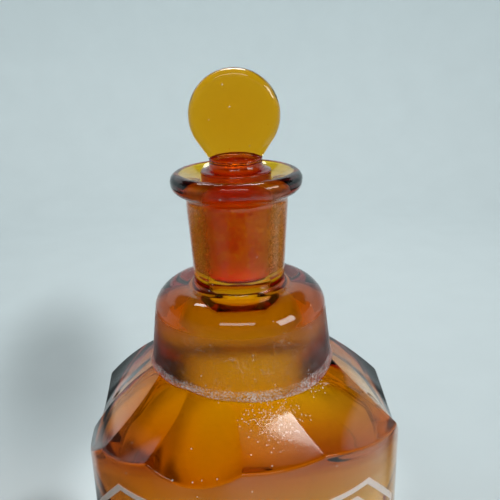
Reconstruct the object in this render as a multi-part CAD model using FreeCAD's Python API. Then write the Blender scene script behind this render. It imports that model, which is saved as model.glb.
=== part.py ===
"""Stoppered pharmacy bottle: a blown amber bottle with a cut shoulder, its ground-in
glass stopper, and a label of fired white enamel in two fields.

Millimetres, +Z up. The origin is the centre of the standing ring on the bottle's axis,
the label faces -Y, and azimuths are turned from -Y towards +X.
"""
import FreeCAD, Part
import math
import os

# Bottle body
BODY_RADIUS = 50.0
WALL = 5.5
BASE_THICKNESS = 7.0
HEEL_RADIUS = 5.0
STANDING_RING_INNER = 40.0
PUSH_UP = 2.5
INNER_CORNER_RADIUS = 9.0
INNER_SHOULDER_START = 111.3
INNER_SHOULDER_BEND = (35.2, 132.7)
INNER_SHOULDER_END = 143.5

# Cut shoulder: facets run from the skirt under the turret out to the body wall
SKIRT_RADIUS = 28.5
SKIRT_HEIGHT = 149.0
# Each ridge between two facets, as (azimuth, height) at the skirt, halfway out and at the
# wall, then how deep the facet that follows it is ground hollow (negative: left crowned)
RIDGES = (
    ((-71.6, 148.8), (-82.0, 137.2), (-89.0, 121.2), 0.3),
    ((-58.8, 149.0), (-52.8, 141.9), (-54.0, 133.2), 0.3),
    ((-31.5, 149.0), (-29.5, 143.6), (-31.0, 138.1), 2.8),
    ((-4.3, 147.6), (-1.6, 143.6), (0.0, 139.5), 0.0),
    ((24.0, 146.6), (24.3, 143.8), (26.0, 140.8), -0.9),
    ((56.5, 147.0), (64.3, 141.3), (63.4, 133.6), 0.0),
    ((75.2, 148.6), (68.6, 141.2), (66.3, 133.4), 5.6),
    ((111.0, 149.0), (111.0, 140.6), (111.0, 130.2), 2.4),
    ((157.0, 149.0), (157.0, 141.0), (157.0, 132.0), 2.1),
    ((203.0, 149.0), (203.0, 141.0), (203.0, 132.0), 2.4),
    ((249.0, 149.0), (249.0, 141.8), (249.0, 131.4), 4.6),
)

# Facets are drawn on past the wall to a rim, in units of the skirt-to-wall distance
RIM = 1.45

# Turret, the drum between shoulder and neck
TURRET_BASE = 153.0
TURRET_BASE_RADIUS = 27.7
TURRET_TOP = 166.8
TURRET_TOP_RADIUS = 26.0
DOME_HEIGHT = 5.6
TURRET_BORE_RADIUS = 20.5
TURRET_ROOF_START = 157.0
TURRET_ROOF_END = (12.0, 166.6)

# Neck and lip
NECK_BASE_RADIUS = 13.7
NECK_TOP_RADIUS = 15.0
NECK_TOP = 197.5
LIP_UNDERSIDE = 200.5
LIP_RADIUS = 19.3
LIP_WIDEST = 204.1
LIP_CREST_RADIUS = 16.4
LIP_TOP = 206.6
MOUTH_HEIGHT = 203.8
THROAT_RADIUS = 9.4
THROAT_BOTTOM = 170.5

# Stopper: the plug and the socket share one taper, with a running clearance between
PLUG_TOP_RADIUS = 10.28
PLUG_TOP = 206.8
PLUG_BOTTOM = 176.0
TAPER = 0.05
JOINT_CLEARANCE = 0.03
STEM_RADIUS = 7.7
STEM_WAIST = 210.3
HEAD_RADIUS = 13.0
HEAD_CENTRE = 222.6
HEAD_THICKNESS = 7.0
HEAD_EDGE_RADIUS = 2.4
HEAD_TAPER_ANGLE = 38.0

# Enamel label: cut-corner outline and inner field, as lengths round the body wall
ENAMEL_THICKNESS = 0.08
LABEL_HALF_WIDTH = 55.7
LABEL_TOP = 126.7
LABEL_BOTTOM = 36.0
LABEL_CUT = 17.0
BORDER_WIDTH = 1.9
PANEL_INSET = 3.5
PANEL_CUT = 18.5


def polar(radius, azimuth, height):
    """Point at an azimuth in degrees, turned from -Y towards +X."""
    turn = math.radians(azimuth)
    return FreeCAD.Vector(radius * math.sin(turn), -radius * math.cos(turn), height)


def profile_point(radius, height):
    return FreeCAD.Vector(radius, 0, height)


def line(start, end):
    return Part.LineSegment(start, end).toShape()


def arc(start, through, end):
    return Part.Arc(start, through, end).toShape()


def turned(steps):
    """Solid of revolution. The first step is the start point on the axis; each later one is
    (end,) for a line or (through, end) for an arc, and the last ends on the axis."""
    edges = []
    here = profile_point(*steps[0])
    for step in steps[1:]:
        end = profile_point(*step[-1])
        if len(step) == 2:
            edges.append(arc(here, profile_point(*step[0]), end))
        else:
            edges.append(line(here, end))
        here = end
    edges.append(line(here, profile_point(*steps[0])))
    face = Part.Face(Part.Wire(edges))
    return face.revolve(FreeCAD.Vector(0, 0, 0), FreeCAD.Vector(0, 0, 1), 360)


def on_arc(centre, radius, angle):
    """Point of a circle in the profile plane, with its angle in degrees from outward."""
    turn = math.radians(angle)
    return (centre[0] + radius * math.cos(turn), centre[1] + radius * math.sin(turn))


def plug_radius(height):
    return PLUG_TOP_RADIUS - TAPER * (PLUG_TOP - height)


def ridge_poles(ridge):
    """Three poles of the quadratic curve a ridge follows, on past the wall to the rim."""
    radii = (SKIRT_RADIUS, (SKIRT_RADIUS + BODY_RADIUS) / 2, BODY_RADIUS)
    start, middle, wall = [
        polar(radius, azimuth, height) for radius, (azimuth, height) in zip(radii, ridge[:3])
    ]
    slope = middle * 4 - start * 3 - wall
    bend = (start + wall) * 2 - middle * 4
    return [start, start + slope * (RIM / 2), start + slope * RIM + bend * RIM ** 2]


def facet_poles(ridge, following):
    """Poles of a facet, three across by three outward; its hollow deepens outward."""
    hollow = ridge[3]
    first = ridge_poles(ridge)
    last = ridge_poles(following)
    sink = (0, 0, hollow * RIM ** 2)
    middle = [
        (one + other) * 0.5 - FreeCAD.Vector(0, 0, 2 * depth)
        for one, other, depth in zip(first, last, sink)
    ]
    return (first, middle, last)


def bezier_face(rows):
    """Face on the Bezier surface with these rows of poles."""
    surface = Part.BezierSurface()
    surface.increase(len(rows) - 1, len(rows[0]) - 1)
    for i, row in enumerate(rows):
        for j, pole in enumerate(row):
            surface.setPole(i + 1, j + 1, pole)
    return surface.toShape()


def on_floor(point):
    return FreeCAD.Vector(point.x, point.y, 0)


def facetted_envelope():
    """Solid under the shoulder's facets, with a column for the turret and neck."""
    faces = []
    skirt_points = []
    floor_points = []
    for index, ridge in enumerate(RIDGES):
        rows = facet_poles(ridge, RIDGES[(index + 1) % len(RIDGES)])
        rim = [row[2] for row in rows]
        start, end = on_floor(rim[0]), on_floor(rim[2])
        floor = [start, (start + end) * 0.5, end]
        faces.append(bezier_face(rows))
        faces.append(bezier_face([[high, low] for high, low in zip(rim, floor)]))
        skirt_points.append(rows[0][0])
        floor_points.append(start)
    roof = (0, 0, SKIRT_HEIGHT)
    for index, point in enumerate(skirt_points):
        following = skirt_points[(index + 1) % len(skirt_points)]
        faces.append(Part.Face(Part.makePolygon([point, following, roof, point])))
    faces.append(Part.Face(Part.makePolygon(floor_points + floor_points[:1])))
    shell = Part.makeShell(faces)
    shell.sewShape()
    cone = Part.makeSolid(shell)
    if cone.Volume < 0:
        cone.reverse()
    column = Part.makeCylinder(SKIRT_RADIUS, LIP_TOP + 1.0)
    return cone.fuse(column)


def make_bottle():
    """Outer form turned and cut, less the inside with its ground socket."""
    lip_bead = (LIP_CREST_RADIUS, LIP_WIDEST)
    bead_width = LIP_RADIUS - LIP_CREST_RADIUS
    neck_fillet = 1.6
    dome_start = (TURRET_TOP_RADIUS, TURRET_TOP)
    dome_middle = (
        NECK_BASE_RADIUS + (TURRET_TOP_RADIUS - NECK_BASE_RADIUS) * 0.77,
        TURRET_TOP + DOME_HEIGHT * 0.72,
    )
    dome_end = (NECK_BASE_RADIUS + neck_fillet, TURRET_TOP + DOME_HEIGHT)
    outer = turned([
        (0, PUSH_UP),
        ((STANDING_RING_INNER * 0.5, PUSH_UP * 0.8), (STANDING_RING_INNER, 0)),
        ((BODY_RADIUS - HEEL_RADIUS, 0),),
        (
            on_arc((BODY_RADIUS - HEEL_RADIUS, HEEL_RADIUS), HEEL_RADIUS, -45),
            (BODY_RADIUS, HEEL_RADIUS),
        ),
        ((BODY_RADIUS, SKIRT_HEIGHT - 4.0),),
        ((SKIRT_RADIUS + 3.0, SKIRT_HEIGHT),),
        ((SKIRT_RADIUS, SKIRT_HEIGHT),),
        ((SKIRT_RADIUS - 0.5, SKIRT_HEIGHT + 1.6), (TURRET_BASE_RADIUS, TURRET_BASE)),
        (dome_start,),
        (dome_middle, dome_end),
        (
            (NECK_BASE_RADIUS + 0.4, TURRET_TOP + DOME_HEIGHT + 0.5),
            (NECK_BASE_RADIUS, TURRET_TOP + DOME_HEIGHT + neck_fillet),
        ),
        ((NECK_TOP_RADIUS, NECK_TOP),),
        (
            (NECK_TOP_RADIUS + 0.5, LIP_UNDERSIDE - 0.9),
            (LIP_CREST_RADIUS, LIP_UNDERSIDE),
        ),
        (
            (LIP_RADIUS - 0.9, LIP_UNDERSIDE + 1.1),
            (LIP_RADIUS, LIP_WIDEST),
        ),
        (
            on_arc(lip_bead, bead_width, 48),
            (LIP_CREST_RADIUS, LIP_TOP),
        ),
        ((0, LIP_TOP),),
    ])
    outer = outer.common(facetted_envelope())

    inner_radius = BODY_RADIUS - WALL
    socket_mouth = plug_radius(MOUTH_HEIGHT) + JOINT_CLEARANCE
    socket_end = plug_radius(PLUG_BOTTOM) + JOINT_CLEARANCE
    inner = turned([
        (0, BASE_THICKNESS + PUSH_UP),
        (
            (STANDING_RING_INNER * 0.45, BASE_THICKNESS + PUSH_UP * 0.8),
            (inner_radius - INNER_CORNER_RADIUS, BASE_THICKNESS),
        ),
        (
            on_arc(
                (inner_radius - INNER_CORNER_RADIUS, BASE_THICKNESS + INNER_CORNER_RADIUS),
                INNER_CORNER_RADIUS,
                -45,
            ),
            (inner_radius, BASE_THICKNESS + INNER_CORNER_RADIUS),
        ),
        ((inner_radius, INNER_SHOULDER_START),),
        ((41.9, 123.8), INNER_SHOULDER_BEND),
        ((28.3, 138.8), (TURRET_BORE_RADIUS, INNER_SHOULDER_END)),
        ((TURRET_BORE_RADIUS, TURRET_ROOF_START),),
        ((17.2, 163.4), TURRET_ROOF_END),
        ((10.0, 168.0), (THROAT_RADIUS, THROAT_BOTTOM)),
        ((THROAT_RADIUS, PLUG_BOTTOM - 1.2),),
        ((socket_end, PLUG_BOTTOM),),
        ((socket_mouth, MOUTH_HEIGHT),),
        (
            (LIP_CREST_RADIUS - 2.6, LIP_TOP - 1.3),
            (LIP_CREST_RADIUS, LIP_TOP),
        ),
        ((LIP_CREST_RADIUS, LIP_TOP + 1.0),),
        ((0, LIP_TOP + 1.0),),
    ])
    return outer.cut(inner)


def make_stopper():
    """Ground plug, waisted stem and a round flat head, pressed as one piece."""
    plug = turned([
        (0, PLUG_BOTTOM),
        ((plug_radius(PLUG_BOTTOM) - 0.6, PLUG_BOTTOM),),
        ((plug_radius(PLUG_BOTTOM + 0.6), PLUG_BOTTOM + 0.6),),
        ((PLUG_TOP_RADIUS, PLUG_TOP),),
        ((PLUG_TOP_RADIUS - 0.5, PLUG_TOP + 0.5),),
        (
            (STEM_RADIUS + 0.7, PLUG_TOP + 1.3),
            (STEM_RADIUS, STEM_WAIST),
        ),
        ((STEM_RADIUS - 1.8, STEM_WAIST + 0.8), (0, STEM_WAIST + 1.3)),
    ])
    turn = math.radians(HEAD_TAPER_ANGLE)
    side = FreeCAD.Vector(HEAD_RADIUS * math.cos(turn), 0, HEAD_CENTRE - HEAD_RADIUS * math.sin(turn))
    mirrored_side = FreeCAD.Vector(-side.x, 0, side.z)
    waist = FreeCAD.Vector(STEM_RADIUS - 0.3, 0, STEM_WAIST)
    mirrored_waist = FreeCAD.Vector(-waist.x, 0, waist.z)
    outline = Part.Wire([
        arc(side, FreeCAD.Vector(0, 0, HEAD_CENTRE + HEAD_RADIUS), mirrored_side),
        line(mirrored_side, mirrored_waist),
        line(mirrored_waist, waist),
        line(waist, side),
    ])
    blank = Part.Face(outline).extrude(FreeCAD.Vector(0, HEAD_THICKNESS, 0))
    blank.translate(FreeCAD.Vector(0, -HEAD_THICKNESS / 2, 0))
    rim = []
    for edge in blank.Edges:
        box = edge.BoundBox
        flat = box.YLength < 0.01
        if flat and box.ZMax > STEM_WAIST + 1.0:
            rim.append(edge)
    head = blank.makeFillet(HEAD_EDGE_RADIUS, rim)
    return plug.fuse(head).removeSplitter()


def wrapped_plate(corners, steps=6):
    """Thin enamel field on the body wall; corners are (length round the wall, height)."""
    points = []
    for index, (start_length, start_height) in enumerate(corners):
        end_length, end_height = corners[(index + 1) % len(corners)]
        for step in range(steps):
            share = step / steps
            length = start_length + (end_length - start_length) * share
            height = start_height + (end_height - start_height) * share
            points.append(FreeCAD.Vector(BODY_RADIUS * math.sin(length / BODY_RADIUS), 0, height))
    outline = Part.Face(Part.makePolygon(points + points[:1]))
    block = outline.extrude(FreeCAD.Vector(0, -BODY_RADIUS - 5.0, 0))
    skin = Part.makeCylinder(BODY_RADIUS + ENAMEL_THICKNESS, LABEL_TOP + 1.0)
    skin = skin.cut(Part.makeCylinder(BODY_RADIUS, LABEL_TOP + 1.0))
    return skin.common(block)


def cut_corner_outline(inset, cut):
    """The label's outline moved in by an inset, with its corners cut at 45 degrees."""
    side = LABEL_HALF_WIDTH - inset
    top = LABEL_TOP - inset
    bottom = LABEL_BOTTOM + inset
    return [
        (side - cut, top),
        (side, top - cut),
        (side, bottom + cut),
        (side - cut, bottom),
        (cut - side, bottom),
        (-side, bottom + cut),
        (-side, top - cut),
        (cut - side, top),
    ]


def make_label_border():
    # An inset moves a 45 degree cut by less than its sides, so the inner cut is shorter
    inner_cut = LABEL_CUT - BORDER_WIDTH * (2 - math.sqrt(2))
    field = wrapped_plate(cut_corner_outline(0, LABEL_CUT))
    return field.cut(wrapped_plate(cut_corner_outline(BORDER_WIDTH, inner_cut)))


def make_label_panel():
    return wrapped_plate(cut_corner_outline(PANEL_INSET, PANEL_CUT))


os.makedirs("parts", exist_ok=True)
NODES = {
    "bottle": make_bottle,
    "stopper": make_stopper,
    "label_border": make_label_border,
    "label_panel": make_label_panel,
}
for name, make in NODES.items():
    shape = make()
    solids = shape.Solids
    print(name, "solids", len(solids), "valid", shape.isValid(), "volume", round(shape.Volume, 1))
    if len(solids) == 1:
        shape = solids[0]
    shape.exportStep("parts/" + name + ".step")
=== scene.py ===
import math

import bmesh
import bpy
import numpy as np
from mathutils import Euler, Matrix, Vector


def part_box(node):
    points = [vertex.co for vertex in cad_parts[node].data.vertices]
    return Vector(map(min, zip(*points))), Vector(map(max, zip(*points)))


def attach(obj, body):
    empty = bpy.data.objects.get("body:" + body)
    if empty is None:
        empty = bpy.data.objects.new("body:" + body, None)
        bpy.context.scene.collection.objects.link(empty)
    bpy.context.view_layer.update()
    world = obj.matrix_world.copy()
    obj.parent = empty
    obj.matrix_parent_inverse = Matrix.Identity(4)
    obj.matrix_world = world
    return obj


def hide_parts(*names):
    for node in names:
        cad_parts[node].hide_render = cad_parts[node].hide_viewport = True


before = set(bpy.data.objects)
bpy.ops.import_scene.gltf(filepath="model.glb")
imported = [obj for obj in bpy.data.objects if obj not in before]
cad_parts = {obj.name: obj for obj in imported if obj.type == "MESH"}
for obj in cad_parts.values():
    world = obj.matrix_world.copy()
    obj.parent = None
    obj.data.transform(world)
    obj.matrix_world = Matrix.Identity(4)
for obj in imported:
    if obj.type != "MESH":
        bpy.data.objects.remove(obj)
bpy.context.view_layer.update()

# ---------------------------------------------------------------------------------------
# Bottle: one piece of amber glass, blown in a mould. The shoulder was cut into facets on a
# wheel, the turret's side and the socket were ground, and the lip was fire-polished.
# Lengths are in millimetres, and heights are measured from the standing ring.
# ---------------------------------------------------------------------------------------
bottle_low, bottle_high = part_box("bottle")
body_radius = (bottle_high.x - bottle_low.x) * 500
lip_top = bottle_high.z * 1000
wall, base_thickness, push_up = 5.5, 7.0, 2.5
heel_radius, standing_ring_inner = 5.0, 40.0
inner_radius, inner_corner_radius = body_radius - wall, 9.0
# The inside of the shoulder is two arcs, given by their middle and end points
inner_shoulder_start = 111.3
inner_shoulder_middle, inner_shoulder_bend = (41.9, 123.8), (35.2, 132.7)
inner_skirt_middle, inner_shoulder_end = (28.3, 138.8), 143.5

neck_base_radius, neck_top_radius, neck_top = 13.7, 15.0, 197.5
lip_radius, lip_widest, lip_underside = 19.3, 204.1, 200.5
lip_crest_radius, mouth_height = 16.4, 203.8
turret_top_radius, turret_top, dome_height = 26.0, 166.8, 5.6
turret_base_radius, turret_base = 27.7, 153.0
turret_bore_radius, turret_roof_start = 20.5, 157.0
turret_roof_middle, turret_roof_end = (17.2, 163.4), (12.0, 166.6)
roof_to_throat = (10.0, 168.0)
throat_radius, throat_bottom, throat_step = 9.4, 170.5, 1.2
plug_top_radius, plug_top, plug_bottom = 10.28, 206.8, 176.0
taper, joint_clearance = 0.05, 0.03

# Ridges of the cut shoulder, as (azimuth, height) at the skirt, halfway out and at the wall,
# then how deep the facet after the ridge is ground hollow, and its columns in the mesh.
skirt_radius = 28.5
ridges = (
    ((-71.6, 148.8), (-82.0, 137.2), (-89.0, 121.2), 0.3, 28),
    ((-58.8, 149.0), (-52.8, 141.9), (-54.0, 133.2), 0.3, 26),
    ((-31.5, 149.0), (-29.5, 143.6), (-31.0, 138.1), 2.8, 36),
    ((-4.3, 147.6), (-1.6, 143.6), (0.0, 139.5), 0.0, 30),
    ((24.0, 146.6), (24.3, 143.8), (26.0, 140.8), -0.9, 40),
    ((56.5, 147.0), (64.3, 141.3), (63.4, 133.6), 0.0, 10),
    ((75.2, 148.6), (68.6, 141.2), (66.3, 133.4), 5.6, 36),
    ((111.0, 149.0), (111.0, 140.6), (111.0, 130.2), 2.4, 22),
    ((157.0, 149.0), (157.0, 141.0), (157.0, 132.0), 2.1, 22),
    ((203.0, 149.0), (203.0, 141.0), (203.0, 132.0), 2.4, 22),
    ((249.0, 149.0), (249.0, 141.8), (249.0, 131.4), 4.6, 26),
)


def polar(radius, azimuth, height):
    """Point at an azimuth in radians, turned from -Y towards +X."""
    return np.stack(np.broadcast_arrays(
        radius * np.sin(azimuth), -radius * np.cos(azimuth), height), -1)


def ridge_curve(ridge):
    """Start, slope and bend of the quadratic that a ridge follows; 1 is the wall."""
    radii = (skirt_radius, (skirt_radius + body_radius) / 2, body_radius)
    start, middle, end = [
        polar(radius, math.radians(azimuth), height)
        for radius, (azimuth, height) in zip(radii, ridge[:3])
    ]
    return start, middle * 4 - start * 3 - end, (start + end) * 2 - middle * 4


def on_facet(index, across, outward):
    """Points of a facet; across runs from its ridge to the next, outward from the skirt."""
    across, outward = np.broadcast_arrays(across, outward)
    across, outward = across[..., None], outward[..., None]
    sides = []
    for ridge in (ridges[index], ridges[(index + 1) % len(ridges)]):
        start, slope, bend = ridge_curve(ridge)
        sides.append(start + slope * outward + bend * outward ** 2)
    point = sides[0] * (1 - across) + sides[1] * across
    sink = 4 * across * (1 - across) * ridges[index][3] * outward ** 2
    return point - sink * np.array((0, 0, 1))


def outward_to(index, across, radius):
    """How far outward along a facet the given radius lies, by halving an interval that
    reaches past both ends of the facet."""
    low, high = np.full(across.shape, -0.3), np.full(across.shape, 1.8)
    halvings = 40
    for _ in range(halvings):
        middle = (low + high) / 2
        inside = np.hypot(*on_facet(index, across, middle)[..., :2].T).T < radius
        low, high = np.where(inside, middle, low), np.where(inside, high, middle)
    return (low + high) / 2


def line_to(path, end, count):
    """Adds an even straight run to a profile of (radius, height) points."""
    start = np.array(path[-1])
    for share in np.arange(1, count + 1) / count:
        path.append(tuple(start + (np.array(end) - start) * share))


def arc_to(path, through, end, count):
    """Adds an arc through a middle point to a profile of (radius, height) points."""
    a, b, c = np.array(path[-1]), np.array(through), np.array(end)
    squares = np.array((b @ b - a @ a, c @ c - a @ a))
    centre = np.linalg.solve(2 * np.array((b - a, c - a)), squares)
    turns = [math.atan2(*(point - centre)[::-1]) for point in (a, b, c)]
    for i in (1, 2):
        while turns[i] - turns[i - 1] > math.pi:
            turns[i] -= 2 * math.pi
        while turns[i] - turns[i - 1] < -math.pi:
            turns[i] += 2 * math.pi
    radius = np.linalg.norm(a - centre)
    for turn in np.linspace(turns[0], turns[2], count + 1)[1:]:
        path.append((centre[0] + radius * math.cos(turn), centre[1] + radius * math.sin(turn)))


def around(centre, radius, degrees):
    """Point of a profile on a circle, at an angle turned up from the outward direction."""
    turn = math.radians(degrees)
    return centre[0] + radius * math.cos(turn), centre[1] + radius * math.sin(turn)


def plug_radius(height):
    """Radius of the ground taper that the plug and the socket share."""
    return plug_top_radius - taper * (plug_top - height)


# Inside, from the middle of the floor up to the crest of the lip
pole_radius = 0.8
inside = [(pole_radius, base_thickness + push_up)]
floor_edge = inner_radius - inner_corner_radius
arc_to(inside, (floor_edge * 0.5, base_thickness + push_up * 0.75),
       (floor_edge, base_thickness), 9)
corner = (floor_edge, base_thickness + inner_corner_radius)
arc_to(inside, around(corner, inner_corner_radius, -45), (inner_radius, corner[1]), 8)
line_to(inside, (inner_radius, inner_shoulder_start), 16)
arc_to(inside, inner_shoulder_middle, inner_shoulder_bend, 14)
arc_to(inside, inner_skirt_middle, (turret_bore_radius, inner_shoulder_end), 12)
line_to(inside, (turret_bore_radius, turret_roof_start), 6)
arc_to(inside, turret_roof_middle, turret_roof_end, 14)
arc_to(inside, roof_to_throat, (throat_radius, throat_bottom), 6)
line_to(inside, (throat_radius, plug_bottom - throat_step), 4)
line_to(inside, (plug_radius(plug_bottom) + joint_clearance, plug_bottom), 3)
socket_start = len(inside)
line_to(inside, (plug_radius(mouth_height) + joint_clearance, mouth_height), 24)
socket_end = len(inside)
arc_to(inside, (lip_crest_radius - 2.6, lip_top - 1.0), (lip_crest_radius, lip_top), 10)

# Outside, from the lip down to the foot of the turret
outside = [inside[-1]]
bead = (lip_crest_radius, lip_widest)
arc_to(outside, around(bead, lip_radius - lip_crest_radius, 45), (lip_radius, lip_widest), 14)
arc_to(outside, (lip_radius - 0.9, lip_underside + 1.1), (lip_crest_radius, lip_underside), 12)
arc_to(outside, (neck_top_radius + 0.5, lip_underside - 0.9), (neck_top_radius, neck_top), 7)
neck_fillet = 1.6
dome_top = turret_top + dome_height
line_to(outside, (neck_base_radius, dome_top + neck_fillet), 14)
arc_to(outside, (neck_base_radius + 0.4, dome_top + 0.5),
       (neck_base_radius + neck_fillet, dome_top), 6)
dome_middle = (
    neck_base_radius + (turret_top_radius - neck_base_radius) * 0.77,
    turret_top + dome_height * 0.72,
)
arc_to(outside, dome_middle, (turret_top_radius, turret_top), 20)
turret_start = len(outside)
line_to(outside, (turret_base_radius, turret_base), 16)
turret_end = len(outside)

# Columns run the same way round as the facets, closer together at the ridges
column_facet = np.concatenate([np.full(ridge[4], i) for i, ridge in enumerate(ridges)])
column_across = np.concatenate([
    0.5 - 0.5 * np.cos(math.pi * np.arange(ridge[4]) / ridge[4]) for ridge in ridges
])
column_count = len(column_facet)
skirt_reach = np.zeros(column_count)
wall_reach = np.zeros(column_count)
for index in range(len(ridges)):
    mine = column_facet == index
    skirt_reach[mine] = outward_to(index, column_across[mine], skirt_radius)
    wall_reach[mine] = outward_to(index, column_across[mine], body_radius)


def facet_row(share):
    """One row of shoulder points, a share of the way from the skirt to the wall."""
    row = np.zeros((column_count, 3))
    for index in range(len(ridges)):
        mine = column_facet == index
        start, end = skirt_reach[mine], wall_reach[mine]
        row[mine] = on_facet(index, column_across[mine], start + (end - start) * share)
    return row


skirt_row, wall_row = facet_row(0.0), facet_row(1.0)
skirt_azimuth = np.arctan2(skirt_row[:, 0], -skirt_row[:, 1])
wall_azimuth = np.arctan2(wall_row[:, 0], -wall_row[:, 1])
rows = [polar(radius, skirt_azimuth, height) for radius, height in inside + outside[1:]]
turret_rows = (len(inside) - 1 + turret_start, len(inside) - 1 + turret_end)
skirt_steps = 7
for step in range(1, skirt_steps):
    share = step / skirt_steps
    flare = turret_base_radius + (skirt_radius - turret_base_radius) * share ** 1.6
    height = turret_base + (skirt_row[:, 2] - turret_base) * share
    rows.append(polar(flare, skirt_azimuth, height))
facet_rows = len(rows)
facet_steps = 46
for step in range(facet_steps + 1):
    rows.append(facet_row(step / facet_steps))
# Down the wall the rows start close together, for the rolled rim of the shoulder
wall_rows = len(rows)
wall_steps = 32
for step in range(1, wall_steps + 1):
    share = 0.1 * step / wall_steps + 0.9 * (step / wall_steps) ** 2.6
    rows.append(polar(
        body_radius, wall_azimuth, wall_row[:, 2] + (heel_radius - wall_row[:, 2]) * share))
foot = [(body_radius, heel_radius)]
heel = (body_radius - heel_radius, heel_radius)
arc_to(foot, around(heel, heel_radius, -45), (heel[0], 0), 8)
line_to(foot, (standing_ring_inner, 0), 2)
arc_to(foot, (standing_ring_inner * 0.5, push_up * 0.8), (pole_radius, push_up), 9)
rows += [polar(radius, wall_azimuth, height) for radius, height in foot[1:]]
bottle_grid = np.array(rows)
# The blown cavity of the body sits a little to one side, so the wall is thicker on the left
cavity_shift, shift_start, shift_reach = 1.3, 142.0, 12.0
cavity = bottle_grid[:len(inside)]
lean = np.clip((shift_start - cavity[..., 2]) / shift_reach, 0, 1)
cavity[..., 0] += cavity_shift * lean ** 2 * (3 - 2 * lean)


def soften(grid, first, last, reach, axis, span):
    """Rounds the edges in some rows by a weighted mean over a reach in millimetres, which
    may differ from column to column; axis 0 runs down the rows and axis 1 round them."""
    total = np.zeros(grid.shape)
    weight = np.zeros(grid.shape[:2])
    for step in range(-span, span + 1):
        shifted = np.roll(grid, step, axis)
        share = np.linalg.norm(np.roll(shifted, 1, axis) - np.roll(shifted, -1, axis), axis=2)
        share = share * np.exp(-((shifted - grid) ** 2).sum(2) / (2 * reach ** 2))
        total += shifted * share[..., None]
        weight += share
    grid[first:last] = (total / weight[..., None])[first:last]


# Ridges are crisp. The rim of the shoulder rolls over, most on the left of the front.
ridge_round, foot_round = 0.3, 0.5
least_roll, more_roll, roll_azimuth, roll_spread = 0.28, 0.55, -75, 22
rim_roll = least_roll + more_roll * np.exp(
    -((np.degrees(wall_azimuth) - roll_azimuth) / roll_spread) ** 2)
soften(bottle_grid, facet_rows + 1, wall_rows + 12, ridge_round, 1, 14)
soften(bottle_grid, facet_rows + 14, wall_rows + 22, rim_roll, 0, 16)
soften(bottle_grid, facet_rows - 3, facet_rows + 14, foot_round, 0, 16)


def closed_mesh(name, points, faces):
    """Smooth mesh of a closed piece with its faces outwards, from points in millimetres."""
    mesh = bpy.data.meshes.new(name)
    mesh.from_pydata((points / 1000).tolist(), [], faces)
    mesh.validate()
    built = bmesh.new()
    built.from_mesh(mesh)
    bmesh.ops.recalc_face_normals(built, faces=built.faces)
    built.to_mesh(mesh)
    built.free()
    mesh.polygons.foreach_set("use_smooth", [True] * len(mesh.polygons))
    return mesh


def grid_mesh(name, grid):
    """Closed mesh on a grid of rows that run round the axis, with a point at each pole."""
    row_count, ring = grid.shape[:2]
    poles = [(0, 0, grid[0, 0, 2]), (0, 0, grid[-1, 0, 2])]
    faces = []
    for row in range(row_count - 1):
        for column in range(ring):
            following = (column + 1) % ring
            faces.append((
                row * ring + column, row * ring + following,
                (row + 1) * ring + following, (row + 1) * ring + column))
    for column in range(ring):
        following = (column + 1) % ring
        faces.append((row_count * ring, following, column))
        last = (row_count - 1) * ring
        faces.append((row_count * ring + 1, last + column, last + following))
    return closed_mesh(name, np.concatenate((grid.reshape(-1, 3), poles)), faces)


def add_piece(name, mesh):
    """Puts a mesh into the scene, unturned and at the origin."""
    piece = bpy.data.objects.new(name, mesh)
    bpy.context.scene.collection.objects.link(piece)
    return piece


bottle = add_piece("bottle_glass", grid_mesh("bottle_glass", bottle_grid))


def finish_points(piece, levels):
    """Stores how each point was finished: 1 is ground, 0 is fire-polished or cut bright."""
    attribute = piece.data.attributes.new("ground", "FLOAT", "POINT")
    attribute.data.foreach_set("value", levels)


socket_ground, mouth_ground, turret_ground, skirt_ground = 1.0, 0.7, 0.8, 1.0
dull_facet, dull_facet_ground = 3, 0.25
ground = np.zeros(bottle_grid.shape[:2])
ground[socket_start:socket_end] = socket_ground
in_lip = bottle_grid[:socket_end, 0, 2] > lip_underside - 1.0
ground[:socket_end][in_lip] = mouth_ground
ground[turret_rows[0] + 1:turret_rows[1] + 3] = turret_ground
ground[turret_rows[1] + 3:facet_rows + 1] = skirt_ground
ground[facet_rows + 1:wall_rows - 3, column_facet == dull_facet] = dull_facet_ground
finish_points(bottle, np.append(ground.reshape(-1), (0.0, 0.0)))


def srgb(code):
    """Linear colour from an sRGB hex code."""
    parts = [int(code[i:i + 2], 16) / 255 for i in (1, 3, 5)]
    return tuple(
        part / 12.92 if part <= 0.04045 else ((part + 0.055) / 1.055) ** 2.4 for part in parts
    ) + (1.0,)


def node(tree, kind, inputs=(), links=(), **settings):
    """Adds a node: its settings, its input values and its links from other sockets."""
    made = tree.nodes.new(kind)
    for key, value in settings.items():
        setattr(made, key, value)
    for key, value in dict(inputs).items():
        made.inputs[key].default_value = value
    for key, source in dict(links).items():
        tree.links.new(source, made.inputs[key])
    return made


def new_material(name):
    """Empty node material, and its tree."""
    material = bpy.data.materials.new(name)
    material.use_nodes = True
    material.node_tree.nodes.clear()
    return material, material.node_tree


# Soda-lime glass, melted amber with iron and sulphur. Its depth makes its colour: orange
# where it is thin, dark red brown where it is thick. Polished parts are bright and clear,
# and ground ones scatter light, so they look milky. Texture scales are cells in a metre.
amber_glass, tree = new_material("amber_glass_blown_and_ground")
place = node(tree, "ShaderNodeTexCoord")
finish = node(tree, "ShaderNodeAttribute", attribute_name="ground")
# Wear breaks the ground skin into patches about 5 mm wide
patches = node(tree, "ShaderNodeTexNoise", {"Scale": 180.0, "Detail": 3.0, "Roughness": 0.6},
               {"Vector": place.outputs["Object"]})
# The grit left pits of 0.1 mm, drawn 0.5 mm wide so that they show
grit = node(tree, "ShaderNodeTexNoise", {"Scale": 2000.0, "Detail": 1.0, "Roughness": 0.6},
            {"Vector": place.outputs["Object"]})
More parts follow.
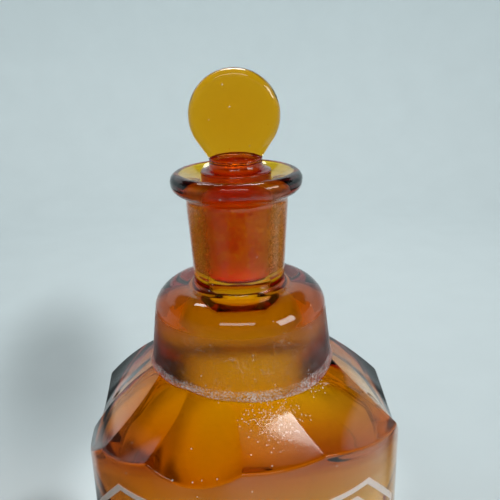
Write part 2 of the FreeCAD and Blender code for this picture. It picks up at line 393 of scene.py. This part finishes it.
# The wheel leaves fine scratches round the bottle, drawn 0.4 mm high and 20 mm long
turning = node(tree, "ShaderNodeMapping", {"Scale": (45.0, 45.0, 2400.0)},
               {"Vector": place.outputs["Object"]})
scratches = node(tree, "ShaderNodeTexNoise", {"Scale": 1.0, "Detail": 4.0, "Roughness": 0.65},
                 {"Vector": turning.outputs["Vector"]})
patch_level = node(tree, "ShaderNodeMapRange",
                   {"From Min": 0.35, "From Max": 0.65, "To Min": 0.85, "To Max": 1.0},
                   {"Value": patches.outputs["Fac"]})
ground_level = node(tree, "ShaderNodeMath", {},
                    {0: finish.outputs["Fac"], 1: patch_level.outputs["Result"]},
                    operation="MULTIPLY")
roughness = node(tree, "ShaderNodeMapRange", {"To Min": 0.01, "To Max": 0.5},
                 {"Value": ground_level.outputs["Value"]})
bump_height = node(tree, "ShaderNodeMath", {},
                   {0: scratches.outputs["Fac"], 1: ground_level.outputs["Value"]},
                   operation="MULTIPLY")
bump = node(tree, "ShaderNodeBump", {"Strength": 0.14, "Distance": 0.0002},
            {"Height": bump_height.outputs["Value"]})
# The most heavily ground glass is whitened by broken grains
coarse = node(tree, "ShaderNodeMath", {1: 2.0}, {0: ground_level.outputs["Value"]},
              operation="POWER")
grains = node(tree, "ShaderNodeMath", {},
              {0: coarse.outputs["Value"], 1: grit.outputs["Fac"]}, operation="MULTIPLY")
clear = node(tree, "ShaderNodeMapRange",
             {"From Min": 0.34, "From Max": 0.65, "To Min": 1.0, "To Max": 0.4},
             {"Value": grains.outputs["Value"]})
# Specks of dust up to 0.5 mm wide lie all over, thickest in two patches on the shoulder
dust_patches = (((0.0085, -0.0335, 0.145), 0.011), ((0.021, -0.0185, 0.147), 0.006))
dust = node(tree, "ShaderNodeTexVoronoi", {"Scale": 1700.0},
            {"Vector": place.outputs["Object"]})
dust_chance = node(tree, "ShaderNodeValue")
dust_chance.outputs[0].default_value = 0.002
chance = dust_chance.outputs[0]
for centre, reach in dust_patches:
    gap = node(tree, "ShaderNodeVectorMath", {1: centre}, {0: place.outputs["Object"]},
               operation="DISTANCE")
    nearness = node(tree, "ShaderNodeMapRange",
                    {"From Min": reach, "From Max": 0.0, "To Min": 0.0, "To Max": 0.75},
                    {"Value": gap.outputs["Value"]})
    chance = node(tree, "ShaderNodeMath", {}, {0: chance, 1: nearness.outputs["Result"]},
                  operation="MAXIMUM").outputs["Value"]
dust_draw = node(tree, "ShaderNodeSeparateXYZ", {}, {"Vector": dust.outputs["Color"]})
dust_here = node(tree, "ShaderNodeMath", {}, {0: dust_draw.outputs["X"], 1: chance},
                 operation="LESS_THAN")
dust_dot = node(tree, "ShaderNodeMapRange",
                {"From Min": 0.2, "From Max": 0.45, "To Min": 1.0, "To Max": 0.0},
                {"Value": dust.outputs["Distance"]})
dusty_share = node(tree, "ShaderNodeMath", {},
                   {0: dust_here.outputs["Value"], 1: dust_dot.outputs["Result"]},
                   operation="MULTIPLY")
clean = node(tree, "ShaderNodeMapRange", {"To Min": 1.0, "To Max": 0.3},
             {"Value": dusty_share.outputs["Value"]})
clear = node(tree, "ShaderNodeMath", {},
             {0: clear.outputs["Result"], 1: clean.outputs["Result"]}, operation="MULTIPLY")
glass = node(tree, "ShaderNodeBsdfPrincipled",
             {"Base Color": (1, 1, 1, 1), "IOR": 1.52},
             {"Roughness": roughness.outputs["Result"], "Normal": bump.outputs["Normal"],
              "Transmission Weight": clear.outputs["Value"]})
light_path = node(tree, "ShaderNodeLightPath")
see_through = node(tree, "ShaderNodeBsdfTransparent", {"Color": (0.92, 0.92, 0.92, 1)})
surface = node(tree, "ShaderNodeMixShader", {},
               {0: light_path.outputs["Is Shadow Ray"], 1: glass.outputs["BSDF"],
                2: see_through.outputs["BSDF"]})
# What the glass takes out of the light in a depth, as linear shares and not a seen colour
amber = node(tree, "ShaderNodeVolumeAbsorption",
             {"Color": (0.968, 0.858, 0.075, 1), "Density": 690.0})
node(tree, "ShaderNodeOutputMaterial", {},
     {"Surface": surface.outputs["Shader"], "Volume": amber.outputs["Volume"]})
bottle.data.materials.append(amber_glass)
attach(bottle, "bottle")
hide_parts("bottle")

# ---------------------------------------------------------------------------------------
# Stopper: pressed amber glass in one piece, a flat round head on a waisted stem over a
# ground plug. It hangs in the socket by its taper and lifts straight out.
# ---------------------------------------------------------------------------------------
stem_radius, stem_waist = 7.7, 210.3
head_radius, head_centre = 13.0, 222.6
head_thickness, head_edge_radius, head_crown = 7.0, 2.4, 0.35
head_taper_angle = 38.0
plug_edge, stem_wall_inset = 0.35, 0.3
head_melt, head_sunk = 0.5, 2.0


def polygon_distance(points, corners):
    """Signed distance to a closed outline, negative inside, for points in its plane."""
    corners = np.array(corners)
    best = np.full(len(points), 1e9)
    sign = np.ones(len(points))
    for start, end in zip(corners, np.roll(corners, -1, 0)):
        along, away = end - start, points - start
        share = np.clip((away @ along) / (along @ along), 0, 1)
        best = np.minimum(best, ((away - share[:, None] * along) ** 2).sum(1))
        above = points[:, 1] >= start[1]
        below = points[:, 1] < end[1]
        left = along[0] * away[:, 1] > along[1] * away[:, 0]
        flip = (above & below & left) | (~above & ~below & ~left)
        sign = np.where(flip, -sign, sign)
    return sign * np.sqrt(best)


# Half section of the plug and stem, drawn in by the edge's radius, then its mirror image
plug_chamfer = 0.4
plug_end = plug_radius(plug_bottom) - plug_edge
plug_outline = [(0, plug_bottom + plug_edge)]
line_to(plug_outline, (plug_end - plug_chamfer, plug_bottom + plug_edge), 1)
line_to(plug_outline, (plug_end, plug_bottom + plug_edge + plug_chamfer), 1)
line_to(plug_outline, (plug_top_radius - plug_edge, plug_top - 0.1), 1)
arc_to(plug_outline, (stem_radius + 0.4 - plug_edge, plug_top + 1.0),
       (stem_radius - plug_edge, stem_waist), 8)
arc_to(plug_outline, (stem_radius - 2.2, stem_waist + 0.6), (0, stem_waist + 0.95), 8)
plug_outline = plug_outline + [(-r, z) for r, z in plug_outline[::-1] if r > 0]

# Outline of the head: a disc whose sides run straight down to the stem
turn = math.radians(head_taper_angle)
head_side = (head_radius * math.cos(turn), head_centre - head_radius * math.sin(turn))
head_outline = [head_side]
arc_to(head_outline, (0, head_centre + head_radius), (-head_side[0], head_side[1]), 72)
stem_side = stem_radius - stem_wall_inset
head_outline += [(-stem_side, stem_waist), (-stem_side, stem_waist - head_sunk)]
head_outline += [(stem_side, stem_waist - head_sunk), (stem_side, stem_waist)]


def stopper_distance(points):
    """Signed distance to the stopper, its head and plug melted together where they meet."""
    axial = np.stack((np.hypot(points[:, 0], points[:, 1]), points[:, 2]), 1)
    plug = polygon_distance(axial, plug_outline) - plug_edge
    flat = polygon_distance(points[:, ::2], head_outline) + head_edge_radius
    from_centre = points[:, 0] ** 2 + (points[:, 2] - head_centre) ** 2
    crown = np.clip(head_crown * (1 - (from_centre / head_radius ** 2)), -1, 1)
    deep = np.abs(points[:, 1]) - head_thickness / 2 + head_edge_radius - crown + head_crown
    head = np.minimum(np.maximum(flat, deep), 0) - head_edge_radius
    head = head + np.hypot(np.maximum(flat, 0), np.maximum(deep, 0))
    blend = np.clip(0.5 + 0.5 * (head - plug) / head_melt, 0, 1)
    return head * (1 - blend) + plug * blend - head_melt * blend * (1 - blend)


# The CAD solid is remeshed evenly, and its points are then drawn on to the melted shape
voxel_size, fitting_rounds, nudge_length = 0.0004, 6, 0.02
stopper_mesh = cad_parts["stopper"].data.copy()
stopper_mesh.name = "stopper_glass"
merged = bmesh.new()
merged.from_mesh(stopper_mesh)
bmesh.ops.remove_doubles(merged, verts=merged.verts, dist=1e-6)
merged.to_mesh(stopper_mesh)
merged.free()
rough_stopper = add_piece("rough_stopper", stopper_mesh)
remesh = rough_stopper.modifiers.new("even_mesh", "REMESH")
remesh.mode = "VOXEL"
remesh.voxel_size = voxel_size
bpy.context.view_layer.update()
evaluated = rough_stopper.evaluated_get(bpy.context.evaluated_depsgraph_get())
stopper_mesh = bpy.data.meshes.new_from_object(evaluated)
bpy.data.objects.remove(rough_stopper)
spots = np.zeros(len(stopper_mesh.vertices) * 3)
stopper_mesh.vertices.foreach_get("co", spots)
spots = spots.reshape(-1, 3) * 1000
for _ in range(fitting_rounds):
    here = stopper_distance(spots)
    slope = np.zeros(spots.shape)
    for axis in range(3):
        nudge = np.zeros(3)
        nudge[axis] = nudge_length
        rise = stopper_distance(spots + nudge) - stopper_distance(spots - nudge)
        slope[:, axis] = rise / (2 * nudge_length)
    steepness = np.maximum((slope ** 2).sum(1), 0.25)
    spots -= slope * (here / steepness)[:, None]
stopper_mesh.vertices.foreach_set("co", (spots / 1000).reshape(-1))
stopper_mesh.polygons.foreach_set("use_smooth", [True] * len(stopper_mesh.polygons))
stopper_mesh.name = "stopper_glass"
stopper = add_piece("stopper_glass", stopper_mesh)
# The plug is ground up to its top edge, a little finer than the socket
plug_ground, ground_edge = 0.75, 0.4
under_edge = np.clip((plug_top - ground_edge / 2 - spots[:, 2]) / ground_edge, 0, 1)
finish_points(stopper, under_edge * plug_ground)
stopper.data.materials.clear()

# The same glass pressed in a hot mould, so its skin is smooth. It is a denser amber.
pressed_glass = amber_glass.copy()
pressed_glass.name = "amber_glass_pressed"
for part in pressed_glass.node_tree.nodes:
    if part.bl_idname == "ShaderNodeVolumeAbsorption":
        part.inputs["Color"].default_value = (0.98, 0.835, 0.05, 1)
        part.inputs["Density"].default_value = 800.0
stopper.data.materials.append(pressed_glass)
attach(stopper, "stopper")
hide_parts("stopper")

# ---------------------------------------------------------------------------------------
# Label: white enamel, printed as paste and fired on to the body in two fields, an outline
# and an inner panel, both with their corners cut. It is blank.
# ---------------------------------------------------------------------------------------
border_low, border_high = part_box("label_border")
enamel_thickness, edge_gap = 0.08, 0.02
label_half_width = 55.7
label_top, label_bottom = border_high.z * 1000, border_low.z * 1000
label_cut, border_width = 17.0, 1.9
panel_inset, panel_cut = 3.5, 18.5


def cut_corner(inset, cut):
    """Corners of the label's outline moved in by an inset, as (length round, height)."""
    side, top, bottom = label_half_width - inset, label_top - inset, label_bottom + inset
    return [
        (side - cut, top), (side, top - cut), (side, bottom + cut), (side - cut, bottom),
        (cut - side, bottom), (-side, bottom + cut), (-side, top - cut), (cut - side, top),
    ]


def even_outline(corners, per_side):
    """Points spaced evenly along each side of an outline, with a count for each side."""
    path = [corners[0]]
    for corner, count in zip(corners[1:] + corners[:1], per_side):
        line_to(path, corner, count)
    return np.array(path[:-1])


def wrapped(flat, lift):
    """Lays (length, height) points on the body wall, lifted off the glass."""
    return polar(body_radius + lift, flat[:, 0] / body_radius, flat[:, 1])


def enamel_ring(name, loops):
    """Ring of enamel whose section runs through closed loops of (flat points, lift)."""
    points = np.concatenate([wrapped(flat, lift) for flat, lift in loops])
    count = len(loops[0][0])
    faces = []
    for ring in range(len(loops)):
        for i in range(count):
            j = (i + 1) % count
            a, b = ring * count, (ring + 1) % len(loops) * count
            faces.append((a + i, a + j, b + j, b + i))
    return add_piece(name, closed_mesh(name, points, faces))


# The enamel starts just off the glass, rounds up at its edges and is level in between
under, proud = 0.004, enamel_thickness - 0.002
shoulder_lift = proud * 0.7
sides = (14, 50, 14, 60, 14, 50, 14, 60)
inner_cut = label_cut - border_width * (2 - math.sqrt(2))
outer_loop = even_outline(cut_corner(edge_gap, label_cut), sides)
inner_loop = even_outline(cut_corner(border_width - edge_gap, inner_cut), sides)
border_section = (
    (0.0, under), (0.015, shoulder_lift), (0.08, proud), (0.5, proud), (0.92, proud),
    (0.985, shoulder_lift), (1.0, under), (0.5, under),
)
border = enamel_ring("label_border_enamel", [
    (outer_loop + (inner_loop - outer_loop) * share, lift) for share, lift in border_section
])

# The panel's rows run from its top edge to its bottom edge, then back up behind it
panel_half = label_half_width - panel_inset
panel_lengths = np.linspace(-panel_half + edge_gap, panel_half - edge_gap, 121)
panel_drop = np.maximum(np.abs(panel_lengths) - (panel_half - panel_cut), 0)
panel_tops = label_top - panel_inset - panel_drop - edge_gap
panel_bottoms = label_bottom + panel_inset + panel_drop + edge_gap
panel_section = [(0.0, under), (0.0008, shoulder_lift), (0.004, proud)]
panel_section += [(share, proud) for share in np.linspace(0.02, 0.98, 25)]
panel_section += [(0.996, proud), (0.9992, shoulder_lift), (1.0, under)]
panel_section += [(share, under) for share in np.linspace(0.98, 0.02, 9)]
panel_grid = np.array([
    wrapped(np.stack((panel_lengths, panel_tops + (panel_bottoms - panel_tops) * share), 1), lift)
    for share, lift in panel_section
])
count = len(panel_lengths)
ring_rows = len(panel_grid)
faces = []
for row in range(ring_rows):
    following = (row + 1) % ring_rows
    for i in range(count - 1):
        faces.append((row * count + i, row * count + i + 1, following * count + i + 1,
                      following * count + i))
faces.append([row * count for row in range(ring_rows)])
faces.append([row * count + count - 1 for row in range(ring_rows)][::-1])
panel = add_piece("label_panel_enamel", closed_mesh(
    "label_panel_enamel", panel_grid.reshape(-1, 3), faces))

# White glass powder fired on in a thin coat: satin, finely pitted and a little cloudy. Its colour
# is tinted faintly warm, painted in for the amber light that comes through it from the glass
# behind.
# Clouds are 17 mm wide, and pits are drawn 0.7 mm.
enamel, tree = new_material("white_enamel_fired_on")
place = node(tree, "ShaderNodeTexCoord")
cloud = node(tree, "ShaderNodeTexNoise", {"Scale": 60.0, "Detail": 4.0},
             {"Vector": place.outputs["Object"]})
pits = node(tree, "ShaderNodeTexNoise", {"Scale": 1500.0, "Detail": 2.0},
            {"Vector": place.outputs["Object"]})
# Both colours carry the painted warm tint of amber light from behind
tone = node(tree, "ShaderNodeMix", {6: srgb("#f8e8de"), 7: srgb("#efd9cb")},
            {0: cloud.outputs["Fac"]}, data_type="RGBA")
bump = node(tree, "ShaderNodeBump", {"Strength": 0.3, "Distance": 0.0001},
            {"Height": pits.outputs["Fac"]})
coat = node(tree, "ShaderNodeBsdfPrincipled",
            {"Roughness": 0.38, "IOR": 1.5, "Transmission Weight": 0.15},
            {"Base Color": tone.outputs[2], "Normal": bump.outputs["Normal"]})
node(tree, "ShaderNodeOutputMaterial", {}, {"Surface": coat.outputs["BSDF"]})
for piece, cad_node in ((border, "label_border"), (panel, "label_panel")):
    piece.data.materials.append(enamel)
    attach(piece, "bottle")
    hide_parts(cad_node)

# ---------------------------------------------------------------------------------------
# Stage: a pale paper table that sweeps up into a round wall, soft lamps all round, brightest
# at the upper right, and a camera close in front of the shoulder, looking slightly down.
# ---------------------------------------------------------------------------------------
wall_distance, cove_radius, wall_top, table_drop = 1000.0, 300.0, 500.0, 0.05
table_edge = wall_distance - cove_radius
sweep = [(0.003, 0.0)]
line_to(sweep, (table_edge, 0.0), 6)
arc_to(sweep, around((table_edge, cove_radius), cove_radius, -45),
       (wall_distance, cove_radius), 10)
line_to(sweep, (wall_distance, wall_top), 2)
ring = np.radians(np.arange(0, 360, 5))
sweep_grid = np.array([polar(radius, ring, height - table_drop) for radius, height in sweep])
stage_points = (sweep_grid.reshape(-1, 3) / 1000).tolist()
stage_faces = []
for row in range(len(sweep) - 1):
    for i in range(len(ring)):
        j = (i + 1) % len(ring)
        a, b = row * len(ring), (row + 1) * len(ring)
        stage_faces.append((a + i, b + i, b + j, a + j))
stage_mesh = bpy.data.meshes.new("table")
stage_mesh.from_pydata(stage_points, [], stage_faces)
stage_mesh.polygons.foreach_set("use_smooth", [True] * len(stage_mesh.polygons))
table = add_piece("table", stage_mesh)

# Matt paper with no gloss, a little uneven in tone. Light and shade are painted into it by place,
# standing in for the lit and shaded room that the clear glass shows all round it: distances are
# in metres from the bottle.
paper, tree = new_material("table_paper_painted_light")
place = node(tree, "ShaderNodeTexCoord")
fibre = node(tree, "ShaderNodeTexNoise", {"Scale": 25.0, "Detail": 3.0},
             {"Vector": place.outputs["Object"]})
tone = node(tree, "ShaderNodeMix", {6: srgb("#dcebee"), 7: srgb("#e3f2f5")},
            {0: fibre.outputs["Fac"]}, data_type="RGBA")
apart = node(tree, "ShaderNodeSeparateXYZ", {}, {"Vector": place.outputs["Object"]})
flat = node(tree, "ShaderNodeCombineXYZ", {},
            {"X": apart.outputs["X"], "Y": apart.outputs["Y"]})
away = node(tree, "ShaderNodeVectorMath", {}, {0: flat.outputs["Vector"]}, operation="LENGTH")
distance = away.outputs["Value"]
# Bearing in degrees from straight in front of the bottle, turned to the right
forward = node(tree, "ShaderNodeMath", {1: -1.0}, {0: apart.outputs["Y"]},
               operation="MULTIPLY")
turned = node(tree, "ShaderNodeMath", {},
              {0: apart.outputs["X"], 1: forward.outputs["Value"]}, operation="ARCTAN2")
in_degrees = node(tree, "ShaderNodeMath", {}, {0: turned.outputs["Value"]},
                  operation="DEGREES")
bearing = in_degrees.outputs["Value"]
# How far to the side of the camera's line of sight a place lies, as a share of its depth;
# places behind the camera count as far to the side
depth = node(tree, "ShaderNodeMath", {1: 0.945, 2: 0.2564}, {0: apart.outputs["Y"]},
             operation="MULTIPLY_ADD")
sideways = node(tree, "ShaderNodeMath", {}, {0: apart.outputs["X"]}, operation="ABSOLUTE")
spread = node(tree, "ShaderNodeMath", {},
              {0: sideways.outputs["Value"], 1: depth.outputs["Value"]}, operation="DIVIDE")
behind_camera = node(tree, "ShaderNodeMath", {1: 0.0}, {0: depth.outputs["Value"]},
                     operation="LESS_THAN")
to_side = node(tree, "ShaderNodeMath", {},
               {0: spread.outputs["Value"], 1: behind_camera.outputs["Value"]},
               operation="ADD")
aside = to_side.outputs["Value"]
# A painted pool of light in an ellipse right behind the bottle, and a painted soft shadow in one
# further back on the left
painted_light_place = node(tree, "ShaderNodeMapping",
                    {"Location": (-0.01, 0.13, 0.0), "Scale": (0.11, 0.1, 1.0)},
                    {"Vector": flat.outputs["Vector"]}, vector_type="TEXTURE")
painted_light_reach = node(tree, "ShaderNodeVectorMath", {}, {0: painted_light_place.outputs["Vector"]},
                    operation="LENGTH")
behind = painted_light_reach.outputs["Value"]
shadow_place = node(tree, "ShaderNodeMapping",
                    {"Location": (-0.15, 0.26, 0.0), "Rotation": (0.0, 0.0, math.radians(14.0)),
                     "Scale": (0.045, 0.12, 1.0)},
                    {"Vector": flat.outputs["Vector"]}, vector_type="TEXTURE")
shadow_reach = node(tree, "ShaderNodeVectorMath", {}, {0: shadow_place.outputs["Vector"]},
                    operation="LENGTH")
# Each painted tone of light or shade is laid over those before it, as its level and then the
# soft ramps, each from one value of its source to another, that bound where it lies
base_tone = 0.68
painted_tones = (
    # All round, painted light and shade: dim at the front left, white on the right, and between
    # the two at the back
    (0.35, (bearing, -75.0, -45.0)),
    (1.0, (bearing, -20.0, 0.0)),
    (0.68, (bearing, 100.0, 125.0)),
    # Further out in front, painted shade: dim, and darkest straight ahead
    (0.3, (distance, 0.28, 0.42), (bearing, -110.0, -80.0), (bearing, 110.0, 80.0)),
    (0.04, (distance, 0.28, 0.42), (bearing, -32.0, -14.0), (bearing, 32.0, 14.0)),
    # Outside the camera's view, painted shade: dark to the left and right, out to some 0.6 m
    (0.08, (aside, 0.4, 0.52), (distance, 0.7, 0.5), (bearing, -35.0, -65.0)),
    (0.12, (aside, 0.4, 0.52), (distance, 0.7, 0.5), (bearing, 100.0, 120.0)),
    # Close to the bottle: even, with a painted pool of light right behind it and painted shadow
    # on the left
    (0.68, (distance, 0.13, 0.09)),
    (1.0, (behind, 1.0, 0.5)),
    (0.1, (bearing, -142.0, -128.0), (bearing, -45.0, -65.0), (distance, 0.18, 0.14)),
)
base_level = node(tree, "ShaderNodeValue")
base_level.outputs[0].default_value = base_tone
painted_light_level = base_level.outputs[0]
for painted_level, *ramps in painted_tones:
    share = None
    for source, start, end in ramps:
        soft = node(tree, "ShaderNodeMapRange", {"From Min": start, "From Max": end},
                    {"Value": source}, interpolation_type="SMOOTHSTEP").outputs["Result"]
        if share is not None:
            soft = node(tree, "ShaderNodeMath", {}, {0: share, 1: soft},
                        operation="MULTIPLY").outputs["Value"]
        share = soft
    painted_light_level = node(tree, "ShaderNodeMix", {3: painted_level}, {0: share, 2: painted_light_level}).outputs[0]
# The painted soft shadow takes the level down to 0.6 at its middle
shadow = node(tree, "ShaderNodeMapRange",
              {"From Min": 0.2, "From Max": 1.6, "To Min": 0.6, "To Max": 1.0},
              {"Value": shadow_reach.outputs["Value"]}, interpolation_type="SMOOTHSTEP")
painted_light_level = node(tree, "ShaderNodeMath", {}, {0: painted_light_level, 1: shadow.outputs["Result"]},
             operation="MULTIPLY").outputs["Value"]
# The paper's own colour, darkened or lightened by the painted light level
bright = node(tree, "ShaderNodeMix", {6: (0, 0, 0, 1)},
              {0: painted_light_level, 7: tone.outputs[2]}, data_type="RGBA")
# In front, behind the camera, painted shade darkens the table into a dark grey wall
towards_back = node(tree, "ShaderNodeMapRange", {"From Min": -0.85, "From Max": -0.35},
                    {"Value": apart.outputs["Y"]}, interpolation_type="SMOOTHSTEP")
painted_shade_paper = node(tree, "ShaderNodeMix", {6: srgb("#4a4e50")},
             {0: towards_back.outputs["Result"], 7: bright.outputs[2]}, data_type="RGBA")
matt = node(tree, "ShaderNodeBsdfPrincipled", {"Roughness": 0.9},
            {"Base Color": painted_shade_paper.outputs[2]})
node(tree, "ShaderNodeOutputMaterial", {}, {"Surface": matt.outputs["BSDF"]})
stage_mesh.materials.append(paper)

# The air above and beyond the wall, by the height and the side it lies to: pale up to some
# 30 degrees and dark overhead, and above the wall only its back sector is pale
world = bpy.data.worlds.new("room")
bpy.context.scene.world = world
world.use_nodes = True
tree = world.node_tree
tree.nodes.clear()
direction = node(tree, "ShaderNodeTexCoord")
apart = node(tree, "ShaderNodeSeparateXYZ", {}, {"Vector": direction.outputs["Generated"]})
overhead = node(tree, "ShaderNodeMapRange",
                {"From Min": 0.51, "From Max": 0.56, "To Min": 0.85, "To Max": 0.05},
                {"Value": apart.outputs["Z"]})
above = node(tree, "ShaderNodeMapRange", {"From Min": 0.28, "From Max": 0.33},
             {"Value": apart.outputs["Z"]})
back = node(tree, "ShaderNodeMapRange", {"From Min": 0.44, "From Max": 0.5, "To Min": 0.1},
            {"Value": apart.outputs["Y"]})
sector = node(tree, "ShaderNodeMix", {2: 1.0},
              {0: above.outputs["Result"], 3: back.outputs["Result"]})
strength = node(tree, "ShaderNodeMath", {},
                {0: overhead.outputs["Result"], 1: sector.outputs[0]}, operation="MULTIPLY")
air = node(tree, "ShaderNodeBackground", {"Color": srgb("#e3eaec")},
           {"Strength": strength.outputs["Value"]})
node(tree, "ShaderNodeOutputWorld", {}, {"Surface": air.outputs["Background"]})

# Soft rectangular lamps: name, place and aim in metres, width, height, power in watts, and
# whether the glass may mirror it. None is seen through the glass, where it would be a spot.
lamp_aim = (0, 0, 0.17)
lamps = (
    ("window_right", (1.0, -0.45, 0.6), lamp_aim, 0.5, 0.6, 7.0, True),
    ("window_left", (-0.8, -0.4, 1.1), lamp_aim, 0.4, 0.4, 2.5, False),
    ("ceiling", (0.14, 0.28, 0.98), lamp_aim, 0.2, 0.3, 0.045, True),
    ("skylight", (0.42, 0.42, 0.85), lamp_aim, 0.12, 0.12, 1.0, False),
    ("back", (-0.1, 0.55, 1.15), (0, 0.8, 0), 0.8, 0.3, 6.0, True),
    ("behind", (0.02, 0.45, 0.8), (0.05, 0.18, 0), 0.3, 0.3, 2.2, True),
    ("tube", (-0.06, -0.68, 0.9), lamp_aim, 0.7, 0.16, 1.6, True),
    ("front", (0.15, -0.6, 0.3), lamp_aim, 0.3, 0.3, 0.7, False),
)
for name, lamp_place, target, width, height, power, mirrored in lamps:
    light = bpy.data.lights.new(name, "AREA")
    light.shape = "RECTANGLE"
    light.size, light.size_y = width, height
    light.energy = power
    holder = bpy.data.objects.new(name, light)
    bpy.context.scene.collection.objects.link(holder)
    holder.location = lamp_place
    holder.visible_transmission = False
    holder.visible_glossy = mirrored
    aim = np.array(target) - np.array(lamp_place)
    holder.rotation_euler = (
        math.atan2(math.hypot(aim[0], aim[1]), -aim[2]), 0, math.atan2(-aim[0], aim[1]))

# The camera looks down by 19 degrees and is held a degree and a half off level
camera_place, look_down, held_off_level = (0.00345, -0.1859, 0.2465), 19.11, -1.52
camera_data = bpy.data.cameras.new("camera")
camera_data.lens = 46.8
camera_data.sensor_width = 36.0
camera_data.clip_start = 0.005
camera = bpy.data.objects.new("camera", camera_data)
bpy.context.scene.collection.objects.link(camera)
camera.location = camera_place
pitch, roll = math.radians(90 - look_down), math.radians(held_off_level)
camera.rotation_euler = (
    Euler((pitch, 0, 0)).to_matrix() @ Matrix.Rotation(roll, 3, "Z")
).to_euler()
bpy.context.scene.camera = camera
bpy.context.scene.view_settings.view_transform = "Standard"
